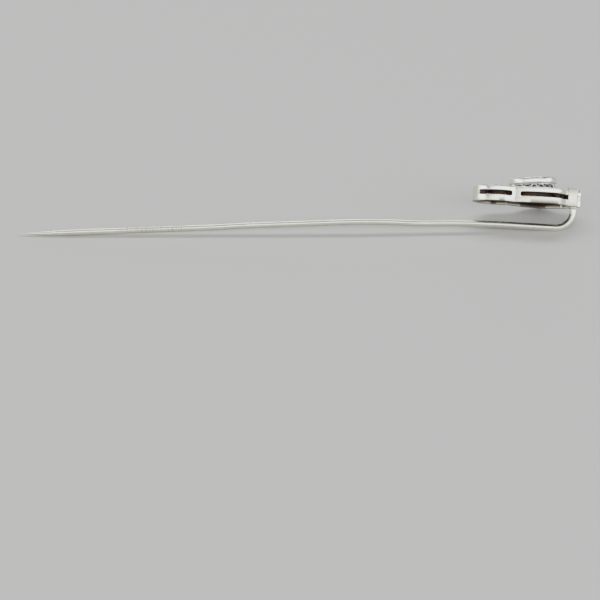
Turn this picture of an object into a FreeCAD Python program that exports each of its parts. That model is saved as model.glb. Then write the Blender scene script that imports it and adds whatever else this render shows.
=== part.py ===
# A bent-wire stick pin with a lobed, two-rail jewelled head, lying on a surface.
# The head is drawn in its own frame (u along the stem, v across, w up to the jewelled face)
# and laid down by one placement.  The stem is drawn in the lying frame.
import FreeCAD, Part
import math
import os
import re
import Sketcher
from FreeCAD import Placement, Rotation, Vector

SIZES = {
    # stem: wire radius, point, and the hand-bent line along X (from the heel corner) and Z
    "wireRadius": 0.375, "tipRadius": 0.05, "taperLength": 6.4, "taperShoulder": 0.3,
    "shoulderShare": 0.7,
    "tipAlong": -62.0, "tipRise": 0.21, "kinkAlong": -39.0, "kinkRise": 0.91,
    "elbowAlong": -36.9, "elbowRise": 1.05, "crestAlong": -24.4, "crestRise": 1.41,
    "slopeAlong": -20.0, "slopeRise": 1.32, "dipAlong": -17.1, "dipRise": 1.10,
    "waveAlong": -13.3, "waveRise": 1.14, "lastAlong": -8.7, "lastRise": 0.91,
    "cornerRise": 0.22, "bendRadius": 1.95, "bendShare": 0.45, "legSink": 0.9,
    # how the head lies: lean about the stem, dip of its stem end, distance over the heel corner
    "headLean": 33.2, "headDip": 5.3, "standOff": 2.41, "legAcross": -0.9, "legAlong": 5.4,
    # head outline: half of it, the other half is its mirror
    "tailAlong": -5.78, "tailRadius": 2.8, "notchAlong": -1.5, "notchAcross": 2.38,
    "swellAlong": 2.6, "swellAcross": 3.7, "swellRadius": 9.0, "hipAlong": 4.55, "hipAcross": 2.05,
    "hipRadius": 4.5, "endAlong": 6.05, "endAcross": 1.3,
    "railWall": 0.55, "lowerHeight": 0.68, "slotHeight": 0.50, "upperHeight": 0.45,
    # uprights between the rails
    "notchPostRadius": 0.42, "tailPostRadius": 0.42, "blockFace": 2.15, "blockDepth": 0.75,
    "blockAlong": 4.5, "blockLength": 1.08, "blockHeight": 2.1, "endBlockLength": 1.2,
    "endBlockHeight": 1.90, "beadRadius": 0.2, "beadAlong": -1.65, "beadAcross": 1.88,
    # stem collar
    "seatRadius": 0.48, "seatHeight": 0.16,
    # top plate and its border
    "plateThickness": 0.35, "borderInset": 0.08, "borderWidth": 0.22, "borderHeight": 0.14,
    # raised middle
    "middleAlong": 0.93, "tierTilt": 5.0, "windowRadius": 2.1, "galleryFoot": 2.75, "galleryTop": 2.55,
    "galleryWall": 0.35, "galleryHeight": 0.65, "galleryRoot": 0.3, "archFoot": 0.125,
    "archWidth": 0.46, "archHeight": 0.4, "archCount": 14,
    "clusterRadius": 2.65, "clusterWall": 0.28, "clusterHeight": 0.70, "clusterPlate": 0.42,
    "colletRadius": 1.28, "colletWall": 0.16, "colletHeight": 1.5, "colletDrop": 0.8,
    "colletFoot": 0.7,
    "stoneRadius": 1.1, "stoneCrown": 0.34, "stoneGirdle": 0.08, "stonePavilion": 0.85,
    "stoneTable": 0.56, "stoneSink": 0.2,
    "haloRadius": 1.86, "haloStone": 0.40, "haloCount": 12, "haloCrown": 0.14,
    "haloCulet": 0.05, "grainRadius": 0.11, "grainInner": 0.37, "grainOuter": 0.33,
    # underside
    "ringRadius": 2.45, "ringWall": 0.28, "ringHeight": 0.62, "strutWidth": 0.3, "strutHeight": 0.50,
    "strutAlong": -3.8, "strutAcross": 0.85, "strutReach": 1.6,
    "strutOutward": 36, "strutInward": 22,
    # small settings: cup section, then the place and radius of each
    "cupRise": 0.20, "cupDrop": 0.35, "cupWall": 0.12, "cupSeat": 0.08, "cupTaper": 0.04,
    "stoneGap": 0.015, "stoneLift": 0.13,
    "tailCupAlong": -4.3, "tailCupRadius": 0.58, "spineCupAlong": -3.2, "spineCupRadius": 0.46,
    "neckCupAlong": 4.34, "neckCupRadius": 0.48,
    "lobeCupAlong": -2.92, "lobeCupAcross": 1.45, "lobeCupRadius": 0.62,
    "notchCupAlong": -2.06, "notchCupAcross": 1.04, "notchCupRadius": 0.26,
    "shoulderCupAlong": 3.2, "shoulderCupAcross": 2.19, "shoulderCupRadius": 0.37,
    "hipCupAlong": 3.98, "hipCupAcross": 1.26, "hipCupRadius": 0.38,
}

doc = FreeCAD.newDocument("StickPin")
sheet = doc.addObject("Spreadsheet::Sheet", "Sizes")
for row, (alias, value) in enumerate(SIZES.items(), 1):
    sheet.set(f"A{row}", alias)
    sheet.set(f"B{row}", str(value))
    sheet.setAlias(f"B{row}", alias)
doc.recompute()


def size(alias):
    return float(getattr(sheet, alias))


def bind(obj, path, formula):
    """Bind one property to a formula in which every word is an alias of the sheet."""
    obj.setExpression(path, re.sub(r"[A-Za-z]+", r"Sizes.\g<0>", formula))


railTop = "lowerHeight + slotHeight + upperHeight"
railTopSize = size("lowerHeight") + size("slotHeight") + size("upperHeight")
lean = Rotation(Vector(1, 0, 0), -size("headLean"))
dip = Rotation(Vector(0, 1, 0), size("headDip"))
headTurn = dip.multiply(lean)
headUp = headTurn.multVec(Vector(0, 0, 1))
corner = Vector(0, 0, size("cornerRise"))
legFoot = headTurn.multVec(Vector(size("legAlong"), size("legAcross"), 0))
headPlace = Placement(corner + headUp * size("standOff") - legFoot, headTurn)
subparts = []


def keep(obj, label, local=None):
    """Name a finished sub-part; with a local placement given, lay it down with the head."""
    obj.Label = label
    if local is not None:
        obj.Placement = headPlace.multiply(local)
    subparts.append(obj)
    return obj


def at(u, v, w):
    return Placement(Vector(u, v, w), Rotation())


def primitive(kind, name, sizes, place=("0", "0", "0")):
    obj = doc.addObject(f"Part::{kind}", name)
    for prop, formula in sizes.items():
        bind(obj, prop, formula)
    for axis, formula in zip("xyz", place):
        if formula != "0":
            bind(obj, f"Placement.Base.{axis}", formula)
    return obj


def boolean(kind, name, base, tool):
    obj = doc.addObject(f"Part::{kind}", name)
    obj.Base = base
    obj.Tool = tool
    return obj


def fused(name, shapes):
    obj = doc.addObject("Part::MultiFuse", name)
    obj.Shapes = shapes
    return obj


def drawLoop(sketch, corners, radii=None):
    """Closed loop of lines, or arcs where a radius is given, through corners bound to the sheet.

    Each corner is a pair of formulas.  radii maps a side's index to (formula, centre below or above).
    """
    radii = radii or {}
    spots = [Vector(*(evaluate(formula) for formula in pair), 0) for pair in corners]
    for index, start in enumerate(spots):
        end = spots[(index + 1) % len(spots)]
        if index in radii:
            sketch.addGeometry(arcBetween(start, end, evaluate(radii[index][0]), radii[index][1]), False)
        else:
            sketch.addGeometry(Part.LineSegment(start, end), False)
    joints = []
    for index in range(len(spots)):
        turned = index in radii and radii[index][1] < 0
        joints.append((2, 1) if turned else (1, 2))
    for index in range(len(spots)):
        following = (index + 1) % len(spots)
        sketch.addConstraint(
            Sketcher.Constraint("Coincident", index, joints[index][1], following, joints[following][0]))
    for index, pair in enumerate(corners):
        point = joints[index][0]
        for kind, axis, formula in (("DistanceX", -2, pair[0]), ("DistanceY", -1, pair[1])):
            if formula == "0":
                sketch.addConstraint(Sketcher.Constraint("PointOnObject", index, point, axis))
                continue
            value = evaluate(formula)
            number = sketch.addConstraint(Sketcher.Constraint(kind, -1, 1, index, point, value))
            bind(sketch, f"Constraints[{number}]", formula)
    for index, (formula, _) in radii.items():
        number = sketch.addConstraint(Sketcher.Constraint("Radius", index, evaluate(formula)))
        bind(sketch, f"Constraints[{number}]", formula)


def evaluate(formula):
    """Value of a sum or difference of products of aliases and numbers."""
    total = 0.0
    for term in formula.replace("- ", "+ -").split("+"):
        product = 1.0
        for factor in term.replace(" ", "").split("*"):
            negative = factor.startswith("-")
            factor = factor.lstrip("-")
            number = size(factor) if factor in SIZES else float(factor)
            product *= -number if negative else number
        total += product
    return total


def arcBetween(start, end, radius, turn):
    """Arc of a given radius from start to end; turn is +1 anticlockwise and -1 clockwise."""
    middle = (start + end) * 0.5
    chord = end - start
    rise = math.sqrt(radius ** 2 - (chord.Length / 2) ** 2)
    side = Vector(-chord.y, chord.x, 0).normalize()
    centre = middle + side * rise * turn
    bulge = centre - side * radius * turn
    return Part.Arc(start, bulge, end)


def originPlane(body, role):
    return next(f for f in body.Origin.OriginFeatures if f.Role == role)


def sketchIn(body, role, name):
    sketch = body.newObject("Sketcher::SketchObject", name)
    sketch.AttachmentSupport = (originPlane(body, role), [""])
    sketch.MapMode = "FlatFace"
    return sketch


def turnedBody(name, profile):
    """Body turned about its own upright axis from a profile of (radius, height) formulas."""
    body = doc.addObject("PartDesign::Body", name)
    sketch = sketchIn(body, "XZ_Plane", f"{name}Profile")
    drawLoop(sketch, profile)
    turned = body.newObject("PartDesign::Revolution", f"{name}Turned")
    turned.Profile = sketch
    turned.ReferenceAxis = (sketch, ["V_Axis"])
    turned.Angle = 360
    doc.recompute()
    return body


# Outline of the head: tail arc, notch, swelling lobe, hip, straight end; then the same mirrored.
outline = doc.addObject("Sketcher::SketchObject", "HeadOutline")
upperHalf = [("notchAlong", "notchAcross"), ("swellAlong", "swellAcross"), ("hipAlong", "hipAcross"),
             ("endAlong", "endAcross")]
lowerHalf = [(u, f"-1 * {v}") for u, v in upperHalf]
drawLoop(outline, [("tailAlong", "0")] + lowerHalf + upperHalf[::-1],
         {0: ("tailRadius", 1), 1: ("swellRadius", 1), 2: ("hipRadius", 1),
          6: ("hipRadius", 1), 7: ("swellRadius", 1), 8: ("tailRadius", 1)})
doc.recompute()


def filled(name, height, inset=None):
    """Solid of the outline's shape, drawn in by an inset if one is given."""
    edge = outline
    if inset:
        edge = doc.addObject("Part::Offset2D", f"{name}Edge")
        edge.Source = outline
        edge.Join = "Tangent"
        bind(edge, "Value", f"-1 * ({inset})")
    slab = doc.addObject("Part::Extrusion", f"{name}Slab")
    slab.Base = edge
    slab.DirMode = "Custom"
    slab.Dir = Vector(0, 0, 1)
    slab.Solid = True
    bind(slab, "LengthFwd", height)
    return slab


def rim(name, height, start, width, foot="0"):
    """Band of the outline's shape, from start to start plus width inside it, standing on foot."""
    outer = filled(f"{name}Outer", height, start)
    inner = filled(f"{name}Inner", height, f"{start} + {width}" if start else width)
    bind(outer, "Placement.Base.z", foot)
    bind(inner, "Placement.Base.z", foot)
    return boolean("Cut", f"{name}Rim", outer, inner)


# Uprights: end block, two flat-faced blocks, notch posts, tail post.  They stand in the rails.
def endBlockBox(name):
    return primitive("Box", name, {"Length": "endBlockLength", "Width": "2 * endAcross",
                                   "Height": "endBlockHeight"},
                     ("endAlong - endBlockLength", "-1 * endAcross", "0"))


def sideBlockBox(name, side):
    across = "blockFace - blockDepth" if side > 0 else "-1 * blockFace"
    return primitive("Box", name, {"Length": "blockLength", "Width": "blockDepth", "Height": "blockHeight"},
                     ("blockAlong", across, "0"))


def notchColumn(name, side):
    return primitive("Cylinder", name, {"Radius": "notchPostRadius", "Height": railTop},
                     ("notchAlong", f"{side} * notchAcross", "0"))


def tailColumn(name):
    return primitive("Cylinder", name, {"Radius": "tailPostRadius", "Height": railTop},
                     ("tailAlong + tailPostRadius", "0", "0"))


def uprightTools(tag):
    return fused(f"Uprights{tag}", [
        endBlockBox(f"EndTool{tag}"), sideBlockBox(f"NearTool{tag}", -1), sideBlockBox(f"FarTool{tag}", 1),
        notchColumn(f"NotchNearTool{tag}", -1), notchColumn(f"NotchFarTool{tag}", 1),
        tailColumn(f"TailTool{tag}")])


def insideOutline(name, column):
    """A column trimmed to the head's outline, so that it ends flush with the rails."""
    return boolean("Common", name, column, filled(f"{name}Trim", railTop))


legBore = primitive("Cylinder", "LegBore", {"Radius": "wireRadius", "Height": "legSink"},
                    ("legAlong", "legAcross", "0"))
endCut = boolean("Cut", "EndBlock", endBlockBox("EndBlockBox"), legBore)
keep(endCut, "end_block", at(0, 0, 0))

for side, word in ((-1, "near"), (1, "far")):
    block = boolean("Cut", f"SideBlock{word}", sideBlockBox(f"SideBox{word}", side),
                    endBlockBox(f"SideTrim{word}"))
    keep(block, f"{word}_side_block", at(0, 0, 0))
    post = insideOutline(f"NotchPost{word}", notchColumn(f"NotchColumn{word}", side))
    keep(post, f"{word}_notch_post", at(0, 0, 0))
    bead = primitive("Sphere", f"NotchBead{word}", {"Radius": "beadRadius"})
    keep(bead, f"{word}_notch_bead",
         at(size("beadAlong"), side * size("beadAcross"), railTopSize + size("beadRadius")))
tailPost = insideOutline("TailPost", tailColumn("TailColumn"))
keep(tailPost, "tail_post", at(0, 0, 0))

# Rails, top plate and raised border.
lowerRail = boolean("Cut", "LowerRail", rim("Lower", "lowerHeight", None, "railWall"), uprightTools("Low"))
keep(lowerRail, "lower_rail", at(0, 0, 0))
upperRim = rim("Upper", "upperHeight", None, "railWall", "lowerHeight + slotHeight")
upperRail = boolean("Cut", "UpperRail", upperRim, uprightTools("High"))
keep(upperRail, "upper_rail", at(0, 0, 0))

# Small settings: name, then the formulas of u, v and radius.  Pairs stand at +v and -v.
settings = [(word, f"{word}CupAlong", "0", f"{word}CupRadius") for word in ("tail", "spine", "neck")]
for word in ("lobe", "notch", "shoulder", "hip"):
    across = f"{word}CupAcross"
    settings.append((f"near_{word}", f"{word}CupAlong", f"-1 * {across}", f"{word}CupRadius"))
    settings.append((f"far_{word}", f"{word}CupAlong", across, f"{word}CupRadius"))

plateSlab = filled("Plate", "plateThickness", "railWall")
bind(plateSlab, "Placement.Base.z", f"{railTop} - plateThickness")
holes = [primitive("Cylinder", "Window", {"Radius": "windowRadius", "Height": railTop},
                   ("middleAlong", "0", "0"))]
for index, (name, u, v, radius) in enumerate(settings):
    holes.append(primitive("Cylinder", f"SeatHole{index}", {"Radius": radius, "Height": railTop},
                           (u, v, "0")))
plateHoles = fused("PlateHoles", holes + [uprightTools("Plate")])
keep(boolean("Cut", "TopPlate", plateSlab, plateHoles), "top_plate", at(0, 0, 0))

border = rim("Border", "borderHeight", "borderInset", "borderWidth", railTop)
keep(boolean("Cut", "BorderTrim", border, uprightTools("Border")), "milgrain_border", at(0, 0, 0))

# Raised middle: pierced gallery, cluster plate and rim, collet, centre stone, ring of small stones.
# It stands on the plate, tilted a little about v.
middle = size("middleAlong")
tilt = Placement(Vector(), Rotation(Vector(0, 1, 0), -size("tierTilt")))


def onTier(height):
    """Placement, in the head's frame, of a piece at a height up the tilted middle."""
    return at(middle, 0, railTopSize).multiply(tilt).multiply(at(0, 0, height))


gallery = turnedBody("Gallery", [("galleryFoot - galleryWall", "-1 * galleryRoot"),
                                 ("galleryFoot", "-1 * galleryRoot"), ("galleryFoot", "0"),
                                 ("galleryTop", "galleryHeight"),
                                 ("galleryTop - galleryWall", "galleryHeight"),
                                 ("galleryFoot - galleryWall", "0")])
arch = sketchIn(gallery, "XZ_Plane", "ArchSketch")
drawLoop(arch, [("-0.5 * archWidth", "archFoot"), ("0.5 * archWidth", "archFoot"),
                ("0.5 * archWidth", "archFoot + archHeight"), ("-0.5 * archWidth", "archFoot + archHeight")])
archCut = gallery.newObject("PartDesign::Pocket", "ArchCut")
archCut.Profile = arch
bind(archCut, "Length", "galleryFoot + 1")
doc.recompute()
archRow = gallery.newObject("PartDesign::PolarPattern", "ArchRow")
archRow.Originals = [archCut]
archRow.Axis = (arch, ["V_Axis"])
archRow.Angle = 360
bind(archRow, "Occurrences", "archCount")
gallery.Tip = archRow
doc.recompute()
gallery.Placement = tilt
belowPlate = primitive("Box", "BelowPlate", {"Length": "4 * galleryFoot", "Width": "4 * galleryFoot",
                                             "Height": "galleryFoot"},
                       ("-2 * galleryFoot", "-2 * galleryFoot", "-1 * galleryFoot"))
keep(boolean("Cut", "GalleryStanding", gallery, belowPlate), "centre_gallery", at(middle, 0, railTopSize))
tierFoot = size("galleryHeight")

clusterPlate = turnedBody("ClusterPlate", [
    ("colletRadius", "0"), ("clusterRadius - clusterWall", "0"),
    ("clusterRadius - clusterWall", "clusterPlate"), ("colletRadius", "clusterPlate")])
seat = sketchIn(clusterPlate, "XY_Plane", "SeatSketch")
seat.addGeometry(Part.Circle(Vector(size("haloRadius"), 0, 0), Vector(0, 0, 1), size("haloStone")), False)
seat.addConstraint(Sketcher.Constraint("PointOnObject", 0, 3, -1))
bind(seat, f"Constraints[{seat.addConstraint(Sketcher.Constraint('DistanceX', -1, 1, 0, 3, 1.86))}]",
     "haloRadius")
bind(seat, f"Constraints[{seat.addConstraint(Sketcher.Constraint('Radius', 0, 0.4))}]", "haloStone")
seatCut = clusterPlate.newObject("PartDesign::Pocket", "SeatCut")
seatCut.Profile = seat
seatCut.Midplane = True
bind(seatCut, "Length", "3 * clusterPlate")
doc.recompute()
seatRow = clusterPlate.newObject("PartDesign::PolarPattern", "SeatRow")
seatRow.Originals = [seatCut]
seatRow.Axis = (seat, ["N_Axis"])
seatRow.Angle = 360
bind(seatRow, "Occurrences", "haloCount")
clusterPlate.Tip = seatRow
doc.recompute()
keep(clusterPlate, "cluster_plate", onTier(tierFoot))

keep(turnedBody("ClusterRim", [
    ("clusterRadius - clusterWall", "0"), ("clusterRadius", "0"), ("clusterRadius", "clusterHeight"),
    ("clusterRadius - clusterWall", "clusterHeight")]), "cluster_rim", onTier(tierFoot))
keep(turnedBody("Collet", [
    ("colletFoot", "-1 * colletDrop"), ("colletFoot + colletWall", "-1 * colletDrop"),
    ("colletRadius", "0"), ("colletRadius", "colletHeight - colletDrop"),
    ("colletRadius - colletWall", "colletHeight - colletDrop"), ("colletRadius - colletWall", "0")]),
    "centre_collet", onTier(tierFoot))


def stoneProfile(radius):
    """Half section of a round stone whose girdle's lower edge is at height 0."""
    share = f"{radius / size('stoneRadius'):.4f}"
    return [("0", f"-{share} * stonePavilion"), (f"{share} * stoneRadius", "0"),
            (f"{share} * stoneRadius", f"{share} * stoneGirdle"),
            (f"{share} * stoneTable * stoneRadius",
             f"{share} * stoneGirdle + {share} * stoneCrown"),
            ("0", f"{share} * stoneGirdle + {share} * stoneCrown")]


keep(turnedBody("CentreStone", stoneProfile(size("stoneRadius"))), "centre_stone",
     onTier(tierFoot + size("colletHeight") - size("colletDrop") - size("stoneSink")))


def ringSpots(count, radius, turnShare):
    for index in range(count):
        angle = 2 * math.pi * (index + turnShare) / count
        yield Vector(radius * math.cos(angle), radius * math.sin(angle), 0)


def group(name, shapes):
    """One node of many equal loose solids, their sizes read from the sheet by its caller."""
    obj = doc.addObject("Part::Feature", name)
    obj.Shape = Part.makeCompound(shapes)
    return obj


haloGap = size("haloStone") - size("stoneGap")
haloStones = [
    Part.makeCone(size("haloCulet"), haloGap, size("clusterPlate"), spot).fuse(
        Part.makeCone(haloGap, size("stoneTable") * haloGap, size("haloCrown"),
                      spot + Vector(0, 0, size("clusterPlate"))))
    for spot in ringSpots(int(size("haloCount")), size("haloRadius"), 0)]
keep(group("HaloStones", haloStones), "halo_stones", onTier(tierFoot))
grainLift = Vector(0, 0, size("clusterPlate") + size("grainRadius"))
haloGrains = []
for reach in (size("haloRadius") - size("grainInner"), size("haloRadius") + size("grainOuter")):
    for spot in ringSpots(int(size("haloCount")), reach, 0.5):
        haloGrains.append(Part.makeSphere(size("grainRadius"), spot + grainLift))
keep(group("HaloGrains", haloGrains), "halo_grains", onTier(tierFoot))

# Small cups with their stones, through the top plate.
for name, u, v, radius in settings:
    tag = name.replace("_", "").title()
    cup = turnedBody(f"Cup{tag}", [
        (f"{radius} - cupWall - cupTaper", "-1 * cupDrop"), (radius, "-1 * cupDrop"), (radius, "cupRise"),
        (f"{radius} - cupWall", "cupRise"), (f"{radius} - cupWall", "cupSeat")])
    keep(cup, f"{name}_setting", at(evaluate(u), evaluate(v), railTopSize))
    stone = turnedBody(f"Stone{tag}", stoneProfile(evaluate(f"{radius} - cupWall - stoneGap")))
    keep(stone, f"{name}_stone", at(evaluate(u), evaluate(v), railTopSize + size("stoneLift")))

# Underside: round seat and the V-shaped struts, both against the plate.
plateFoot = railTopSize - size("plateThickness")
keep(turnedBody("UnderRing", [
    ("ringRadius - ringWall", "-1 * ringHeight"), ("ringRadius", "-1 * ringHeight"), ("ringRadius", "0"),
    ("ringRadius - ringWall", "0")]), "under_ring", at(middle, 0, plateFoot))
for side, word in ((-1, "near"), (1, "far")):
    tip = Vector(size("strutAlong"), side * size("strutAcross"), plateFoot - size("strutHeight"))
    arms = []
    for angle in (side * size("strutOutward"), -side * size("strutInward")):
        arm = Part.makeBox(size("strutReach"), size("strutWidth"), size("strutHeight"),
                           Vector(0, -size("strutWidth") / 2, 0))
        arm.Placement = Placement(tip, Rotation(Vector(0, 0, 1), angle))
        arms.append(arm)
    strut = doc.addObject("Part::Feature", f"Strut{word}")
    strut.Shape = arms[0].fuse(arms[1]).removeSplitter()
    keep(strut, f"{word}_under_strut", at(0, 0, 0))

# Stem seat: a collar round the leg, against the underside.
seatOuter = primitive("Cylinder", "SeatOuter", {"Radius": "seatRadius", "Height": "seatHeight"},
                      ("legAlong", "legAcross", "-1 * seatHeight"))
seatBore = primitive("Cylinder", "SeatBore", {"Radius": "wireRadius", "Height": "seatHeight"},
                     ("legAlong", "legAcross", "-1 * seatHeight"))
keep(boolean("Cut", "StemSeat", seatOuter, seatBore), "stem_seat", at(0, 0, 0))


def stemPath(points, cornerRadius, share):
    """Straight runs joined by tangent arcs; the last turn has its own radius."""
    edges = []
    start = points[0]
    for index in range(1, len(points) - 1):
        before = points[index - 1] - points[index]
        after = points[index + 1] - points[index]
        half = (math.pi - before.getAngle(after)) / 2
        if index == len(points) - 2:
            radius = cornerRadius
        else:
            radius = share * min(before.Length, after.Length) / math.tan(half)
        reach = radius * math.tan(half)
        begin = points[index] + before.normalize() * reach
        finish = points[index] + after.normalize() * reach
        inward = (before + after).normalize()
        middlePoint = points[index] + inward * (radius / math.cos(half) - radius)
        edges.append(Part.LineSegment(start, begin).toShape())
        edges.append(Part.Arc(begin, middlePoint, finish).toShape())
        start = finish
    edges.append(Part.LineSegment(start, points[-1]).toShape())
    return edges


stations = ["tip", "kink", "elbow", "crest", "slope", "dip", "wave", "last"]
line = [Vector(size(f"{word}Along"), 0, size(f"{word}Rise")) for word in stations]
line.append(corner)
line.append(corner + headUp * (size("standOff") + size("legSink")))
firstRun = (line[1] - line[0]).normalize()
shoulder = line[0] + firstRun * size("taperLength")
edges = stemPath([shoulder] + line[1:], size("bendRadius"), size("bendShare"))
path = Part.Wire(edges)
section = Part.Wire(Part.Circle(shoulder, firstRun, size("wireRadius")).toShape())
rod = path.makePipeShell([section], True, False)
slimLength = size("taperLength") * size("shoulderShare")
point = Part.makeCone(size("tipRadius"), size("taperShoulder"), slimLength, line[0], firstRun)
point = point.fuse(Part.makeCone(size("taperShoulder"), size("wireRadius"), size("taperLength") - slimLength,
                                 line[0] + firstRun * slimLength, firstRun))
stem = doc.addObject("Part::Feature", "Stem")
stem.Shape = rod.fuse(point).removeSplitter()
stem.Placement = Placement()
keep(stem, "pin_stem")

doc.recompute()
for obj in doc.Objects:
    if "Invalid" in obj.State or "Error" in obj.State:
        raise RuntimeError(f"{obj.Name} ({obj.Label}) failed: {obj.State}")
for obj in subparts:
    if obj.Shape.isNull() or not obj.Shape.isValid() or not obj.Shape.Solids:
        raise RuntimeError(f"{obj.Label} has no valid solid")

# The frame's origin is the middle of the lying pin's footprint.
whole = Part.makeCompound([obj.Shape for obj in subparts]).optimalBoundingBox(False)
toFrame = Placement(Vector(-whole.Center.x, -whole.Center.y, -whole.ZMin), Rotation())
os.makedirs("parts", exist_ok=True)
for obj in subparts:
    obj.Placement = toFrame.multiply(obj.Placement)
    obj.Shape.exportStep(f"parts/{obj.Label}.step")
expected = math.pi * size("wireRadius") ** 2 * path.Length
print(f"rod volume {rod.Volume:.3f}, section times length {expected:.3f}")
grip = edges[0].BoundBox.DiagonalLength
gripMiddle = toFrame.multVec(shoulder + firstRun * (grip / 2))
print(f"straight pin length {grip:.3f}, middle {gripMiddle}, direction to the point {firstRun * -1}")
print(f"{len(subparts)} sub-parts, box {whole.XLength:.2f} x {whole.YLength:.2f} x {whole.ZLength:.2f}")
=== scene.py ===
# A white-metal stick pin lying on a pale table: long bent wire stem, lobed two-rail head with a raised
# round cluster.  The head's pieces are built flat in millimetres and laid down by one matrix.
import math
import random

import bmesh
import bpy
from mathutils import Matrix, Vector


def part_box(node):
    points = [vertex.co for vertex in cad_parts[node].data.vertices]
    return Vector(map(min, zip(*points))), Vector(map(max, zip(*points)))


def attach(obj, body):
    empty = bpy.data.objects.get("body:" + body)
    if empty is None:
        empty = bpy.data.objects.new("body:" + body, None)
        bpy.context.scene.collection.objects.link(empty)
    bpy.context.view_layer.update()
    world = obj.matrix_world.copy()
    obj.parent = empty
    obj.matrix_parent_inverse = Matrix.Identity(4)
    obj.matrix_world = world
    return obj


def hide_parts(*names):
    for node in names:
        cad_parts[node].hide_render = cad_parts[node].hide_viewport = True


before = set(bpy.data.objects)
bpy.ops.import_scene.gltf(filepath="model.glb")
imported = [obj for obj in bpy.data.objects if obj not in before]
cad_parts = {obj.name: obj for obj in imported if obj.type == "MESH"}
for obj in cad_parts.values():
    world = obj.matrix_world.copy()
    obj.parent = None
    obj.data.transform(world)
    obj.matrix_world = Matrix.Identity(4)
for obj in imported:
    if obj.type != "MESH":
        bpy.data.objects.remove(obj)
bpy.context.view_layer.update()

milli = 0.001
chance = random.Random(11)

lay = {"lean": 33.2, "dip": 5.3, "tier": 5.0}  # how the head lies and its middle tilts, in degrees
rails = {"wall": 0.55, "lower": 0.68, "slot": 0.50, "upper": 0.45, "soften": 0.07}
railTop = rails["lower"] + rails["slot"] + rails["upper"]
plate = {"thick": 0.35, "inset": 0.55, "window": 2.1, "lap": 0.02}
raised = {"along": 0.93, "foot": 2.75, "neck": 2.55, "gallery": 0.65, "radius": 2.65, "height": 0.70,
          "halo": 1.86, "haloStone": 0.38, "haloCount": 12}

def middleOf(node):
    low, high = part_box(node)
    return (low + high) / 2

def turned(degrees, axis):
    return Matrix.Rotation(math.radians(degrees), 4, axis)

def limited(value, top=1.0):
    return max(0.0, min(top, value))

def added(name, data):
    made = bpy.data.objects.new(name, data)
    bpy.context.scene.collection.objects.link(made)
    return made

headTurn = turned(lay["dip"], "Y") @ turned(-lay["lean"], "X")
pivot = Vector((raised["along"], 0, railTop))
tierTurn = Matrix.Translation(pivot) @ turned(-lay["tier"], "Y") @ Matrix.Translation(-pivot)
rimMiddle = tierTurn @ (pivot + Vector((0, 0, raised["gallery"] + raised["height"] / 2))) * milli
headPlace = Matrix.Translation(middleOf("cluster_rim") - headTurn @ rimMiddle) @ headTurn

# the camera looks down along +Y at the stem's middle; lengths in metres, lens in millimetres
view = {"pitch": 32.46, "roll": -0.55, "distance": 0.1548, "lens": 83.6, "sensor": 36,
        "above": 0.00836, "right": 0.00013, "wireRadius": 0.000375, "height": 0.0011,
        "clipStart": 0.001, "clipEnd": 10}
lookAt = Vector((0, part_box("pin_stem")[0].y + view["wireRadius"], view["height"]))
pitch = math.radians(view["pitch"])
forward = Vector((0, math.cos(pitch), -math.sin(pitch)))
upward = Vector((0, math.sin(pitch), math.cos(pitch)))
camera = added("camera", bpy.data.cameras.new("camera"))
camera.location = (lookAt - forward * view["distance"] - upward * view["above"]
                   + Vector((view["right"], 0, 0)))
tilt = Matrix.Rotation(math.pi / 2 - pitch, 3, "X") @ Matrix.Rotation(math.radians(view["roll"]), 3, "Z")
camera.rotation_euler = tilt.to_euler()
camera.data.lens = view["lens"]
camera.data.sensor_width = view["sensor"]
camera.data.clip_start = view["clipStart"]
camera.data.clip_end = view["clipEnd"]
bpy.context.scene.camera = camera
print("camera placed")

class Flow:
    # a socket of one node tree; sums and products of flows add Math nodes
    def __init__(self, tree, socket=None):
        self.tree = tree
        self.socket = socket

    def node(self, kind, settings=None, inputs=None, output=0):
        made = self.tree.nodes.new(kind)
        for key, value in (settings or {}).items():
            setattr(made, key, value)
        self.feed(made, inputs)
        return Flow(self.tree, made.outputs[output])

    def feed(self, made, inputs):
        for key, value in (inputs or {}).items():
            if isinstance(value, Flow):
                self.tree.links.new(value.socket, made.inputs[key])
            else:
                made.inputs[key].default_value = value

    def maths(self, operation, first, second):
        return self.node("ShaderNodeMath", {"operation": operation}, {0: first, 1: second})

    def __add__(self, other):
        return self.maths("ADD", self, other)

    def __radd__(self, other):
        return self.maths("ADD", other, self)

    def __sub__(self, other):
        return self.maths("SUBTRACT", self, other)

    def __rsub__(self, other):
        return self.maths("SUBTRACT", other, self)

    def __mul__(self, other):
        return self.maths("MULTIPLY", self, other)

    def __rmul__(self, other):
        return self.maths("MULTIPLY", other, self)

    def clamp(self):
        return self.node("ShaderNodeClamp", None, {"Value": self})

    def between(self, low, high):
        return self.node("ShaderNodeMapRange", {"interpolation_type": "SMOOTHSTEP"},
                         {"Value": self, "From Min": low, "From Max": high})

    def mix(self, first, second):
        # colour mix driven by this flow
        return self.node("ShaderNodeMix", {"data_type": "RGBA"}, {0: self, 6: first, 7: second}, 2)

    def bump(self, strength, distance):
        return self.node("ShaderNodeBump", None, {"Height": self, "Strength": strength, "Distance": distance})

    def noise(self, coordinates, scale, detail=3.0, roughness=0.55):
        return self.node("ShaderNodeTexNoise", None, {"Vector": coordinates, "Scale": scale,
                                                      "Detail": detail, "Roughness": roughness})

def startMaterial(name):
    material = bpy.data.materials.new(name)
    material.use_nodes = True
    flow = Flow(material.node_tree)
    shader = material.node_tree.nodes["Principled BSDF"]
    objectSpace = flow.node("ShaderNodeTexCoord", None, None, 3)
    inMillimetres = flow.node("ShaderNodeVectorMath", {"operation": "SCALE"},
                              {0: objectSpace, "Scale": 1 / milli})
    return material, flow, shader, inMillimetres

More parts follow.
